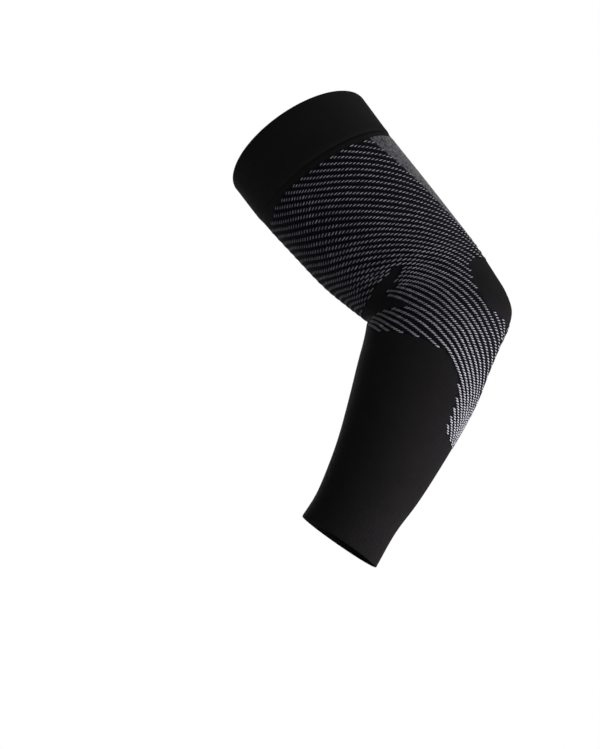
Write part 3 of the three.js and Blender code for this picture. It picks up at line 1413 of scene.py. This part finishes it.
        # Round the arm, painted shade darkens the yarn towards the crook.
        more, wider, longer, added_painted_shade = (
            np.interp(away, self.round_aways, values) for values in towards_crook
        )
        more = more * np.interp(row, self.crook_lean_rows, self.crook_lean_share)
        added_painted_shade = added_painted_shade * np.interp(row, self.dim_rows, self.dim_share)
        turn = np.radians(lean + more + self.uneven_lean * uneven[:, 0]) * run.side.value
        turn = turn[:, None]
        heading = np.cos(turn) * round_arm + np.sin(turn) * np.cross(normal, round_arm)
        step = self.sample / np.gradient(run.course)[index]
        share = (tangent * heading).sum(1)
        across = np.sqrt(np.clip(1.0 - share**2, self.least_across, 1.0))
        length = longer * (reach + self.stitch_overlap * step * np.abs(share))
        length = np.minimum(length, self.widest_share * pitch / across)
        width = np.minimum(wider * width, self.thickest_share * pitch)
        low = self._low(away)
        size = np.stack([length, width, self.stitch_height * low], 1)
        size = size * (1 + self.uneven_size * uneven[:, 1:2])
        centre = run.points[index] + normal * (self.seat * self.cord_height * low)[:, None]
        centre = centre + heading * (self.uneven_place * uneven[:, 1])[:, None]
        # Each stitch's shade: painted light and shade, with uneven tone.
        shade = np.clip(shade + added_painted_shade + self.uneven_shade * uneven[:, 2], *self.shade_limits)
        bed.lay(centre, heading, normal, size, shade)


@dataclass
class BackMesh:
    """The fine light mesh that tapers down the back of the upper arm, stitch by stitch.

    It starts some rows below the band, and reaches half a width at most, in degrees, to either side of the
    back line. Its legs lie in pairs that turn to either side of the arm's length.
    """

    form: SleeveForm
    plan: KnitPlan
    finish: LightYarnFinish
    wale: float = 2.1
    course: float = 1.9
    below_band_rows: float = 0.14
    line_samples: int = 400
    half_width: float = 45.0
    row_probe: float = 0.02
    leg_length: float = 2.1
    leg_width: float = 0.78
    leg_height: float = 0.55
    leg_turn: float = 24.0
    leg_sides: int = 5
    leg_rings: tuple[float, ...] = (-0.7, 0.7)
    leg_shade: float = 0.55
    seat: float = 0.1
    uneven_turn: float = 3.0
    uneven_shade: float = 0.5
    seed: int = 11

    def build(self, name: str) -> bpy.types.Object:
        """Makes the mesh's stitches as pairs of legs in rows.

        Args:
            name: The piece's name.

        Returns:
            The new object.
        """
        draws = np.random.default_rng(self.seed)
        bed = StitchBed(self.leg_sides, self.leg_rings)
        back = math.radians(self.plan.back_lines[0])
        first = self.plan.wedge_edge[0][0] + self.below_band_rows
        fine = np.linspace(first, self.plan.wedge_edge[-1][0], self.line_samples)
        length = run_length(self.form.points(fine, np.full_like(fine, back)))
        for place in np.arange(0.0, length[-1], self.course):
            self._lay_course(bed, float(np.interp(place, length, fine)), back, draws)
        return bed.gather(name, self.finish)

    def _lay_course(self, bed: StitchBed, row: float, back: float, draws: np.random.Generator) -> None:
        """Lays the legs of one course.

        Args:
            bed: The bed that takes them.
            row: The course's row of the section table.
            back: The angle of the back line, in radians.
            draws: The random numbers that make them uneven.
        """
        width = np.linalg.norm(self.form.points(row, back) - self.form.points(row, back + math.pi))
        radius = float(width) / 2
        step = self.wale / 2 / radius
        count = int(math.radians(self.half_width) / step)
        legs = np.arange(-count, count)
        angle = back + (legs + 0.5) * step
        rows = np.full(len(legs), row)
        kept = self.plan.wedge(rows, self.plan.away(rows, angle))
        if not kept.any():
            return
        legs, angle, rows = legs[kept], angle[kept], rows[kept]
        centre, normal = self.form.points(rows, angle), self.form.normals(rows, angle)
        down = unit(self.form.points(rows + self.row_probe, angle) - centre)
        uneven = draws.normal(0.0, 1.0, (len(legs), 2))
        turn = self.leg_turn * np.where(legs % 2 == 0, 1, -1) + self.uneven_turn * uneven[:, 0]
        turn = np.radians(turn)[:, None]
        heading = np.cos(turn) * down + np.sin(turn) * np.cross(normal, down)
        size = np.tile([self.leg_length, self.leg_width, self.leg_height], (len(legs), 1))
        shade = np.clip(self.leg_shade + self.uneven_shade * uneven[:, 1], 0.0, 1.0)
        bed.lay(centre + self.seat * normal, heading, normal, size, shade)


@dataclass(frozen=True)
class SoftLight:
    """A square soft light, with its place and size in metres and its power in watts."""

    name: str
    place: Place
    size: float
    power: float
    tint: Colour = (1.0, 1.0, 1.0)

    def hang(self, aim: Place) -> None:
        """Hangs the light.

        Args:
            aim: The place that it points at, in metres.
        """
        lamp = bpy.data.lights.new(self.name, "AREA")
        lamp.size = self.size
        lamp.energy = self.power
        lamp.color = self.tint
        light = bpy.data.objects.new(self.name, lamp)
        light.location = self.place
        light.rotation_euler = (Vector(aim) - Vector(self.place)).to_track_quat("-Z", "Y").to_euler()
        bpy.context.scene.collection.objects.link(light)


@dataclass
class Studio:
    """The pale floor, the white surround, the soft lights and the camera, in metres.

    The floor's relief is in millimetres, and so is the lens.
    """

    floor_height: float = -1.3
    floor_radius: float = 1.6
    floor_corners: int = 64
    floor_tones: tuple[Colour, Colour] = ((0.84, 0.84, 0.84), (0.88, 0.88, 0.88))
    floor_cloud: tuple[float, float] = (1.5, 2.0)
    floor_relief: float = 0.1
    floor_roughness: float = 0.9
    floor_gloss: float = 0.1
    camera_place: Place = (0.00078, -3.05, -0.1829)
    lens: float = 184.9
    aim: Place = (0.06, -0.06, -0.15)
    lights: tuple[SoftLight, ...] = (
        SoftLight("key_softbox", (1.34, -0.525, -0.785), 1.8, 27.5, (1.0, 0.965, 0.985)),
        SoftLight("fill_softbox", (0.6, -3.2, 1.0), 1.6, 1.25),
        SoftLight("back_softbox", (-0.35, 2.1, 0.35), 1.6, 20.0),
    )
    ambient: float = 0.125

    def build(self) -> None:
        """Sets the whole studio up."""
        self._floor()
        self._world()
        for light in self.lights:
            light.hang(self.aim)
        self._camera()
        bpy.context.scene.view_settings.view_transform = "Standard"

    def _floor(self) -> None:
        """Lays a plain pale floor well below the sleeve."""
        count = self.floor_corners
        turns = 2 * np.pi * np.arange(count) / count
        ring = np.stack([np.cos(turns), np.sin(turns), np.zeros(count)], 1) * self.floor_radius
        mesh = bpy.data.meshes.new("studio_floor")
        mesh.from_pydata((ring + (0, 0, self.floor_height)).tolist(), [], [list(range(count))])
        material, bench = new_bench("pale_floor")
        cloud = bench.noise(*self.floor_cloud)
        colour = bench.mix(cloud, *self.floor_tones)
        normal = bench.bump(cloud, self.floor_relief)
        bench.surface(colour, self.floor_roughness, normal, self.floor_gloss, 0.0)
        mesh.materials.append(material)
        floor = bpy.data.objects.new("studio_floor", mesh)
        bpy.context.scene.collection.objects.link(floor)

    def _world(self) -> None:
        """Makes a white surround that lights the sleeve only a little."""
        world = bpy.data.worlds.new("white_surround")
        world.use_nodes = True
        bench = Bench(world.node_tree)
        seen = bench.node("ShaderNodeLightPath", {}, {}, "Is Camera Ray")
        strength = self.ambient + (1.0 - self.ambient) * seen
        inputs = {"Color": (1.0, 1.0, 1.0, 1.0), "Strength": strength}
        light = bench.node("ShaderNodeBackground", {}, inputs, "Background")
        bench.add("ShaderNodeOutputWorld", {}, {"Surface": light})
        bpy.context.scene.world = world

    def _camera(self) -> None:
        """Sets the camera at the photograph's view, level and facing along Y."""
        lens = bpy.data.cameras.new("photo_view")
        lens.lens = self.lens
        camera = bpy.data.objects.new("photo_view", lens)
        camera.location = self.camera_place
        camera.rotation_euler = (math.pi / 2, 0.0, 0.0)
        bpy.context.scene.collection.objects.link(camera)
        bpy.context.scene.camera = camera


def main() -> None:
    """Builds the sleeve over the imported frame, piece by piece."""
    logging.basicConfig(level=logging.INFO, format="%(name)s: %(message)s")
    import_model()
    Studio().build()
    form, plan = SleeveForm(), KnitPlan()
    band = UpperBand(
        name="upper_band_knit", node="upper_band", slot="band_knit", form=form, plan=plan,
        finish=JerseyFinish("band_jersey"), from_row=0, to_row=1, proud=0.6, wall=2.2,
        outer_steps=24, inner_steps=8, flat=(0.31, 0.045), flat_area=0.31 * 0.045,
    )
    body = SleeveBody(
        name="sleeve_body_knit", node="sleeve_body", slot="body_knit", form=form, plan=plan,
        finish=JerseyFinish("body_jersey"), from_row=1, to_row=16, proud=0.0, wall=1.2,
        outer_steps=240, inner_steps=60, flat=(0.31, 0.33), flat_area=0.081,
    )
    ribs = RibField(form, plan, CordFinish("rib_yarn"), LightYarnFinish("light_yarn"))
    band_piece, body_piece = band.build(), body.build()
    trimmings = []
    for side in Side:
        runs = ribs.runs(side)
        trimmings.append(ribs.build_cords(f"rib_cords_{side.name.lower()}", runs))
        trimmings.append(ribs.build_stitches(f"rib_stitches_{side.name.lower()}", runs))
    mesh_finish = LightYarnFinish("mesh_yarn", dull=(0.07, 0.07, 0.08), bright=(0.50, 0.505, 0.53))
    trimmings.append(BackMesh(form, plan, mesh_finish).build("back_mesh_stitches"))
    band.declare(band_piece, [])
    body.declare(body_piece, trimmings)
    for piece in [band_piece, body_piece, *trimmings]:
        LOG.info("%s: %d faces", piece.name, len(piece.data.polygons))
    bpy.context.view_layer.update()


if __name__ == "__main__":
    main()
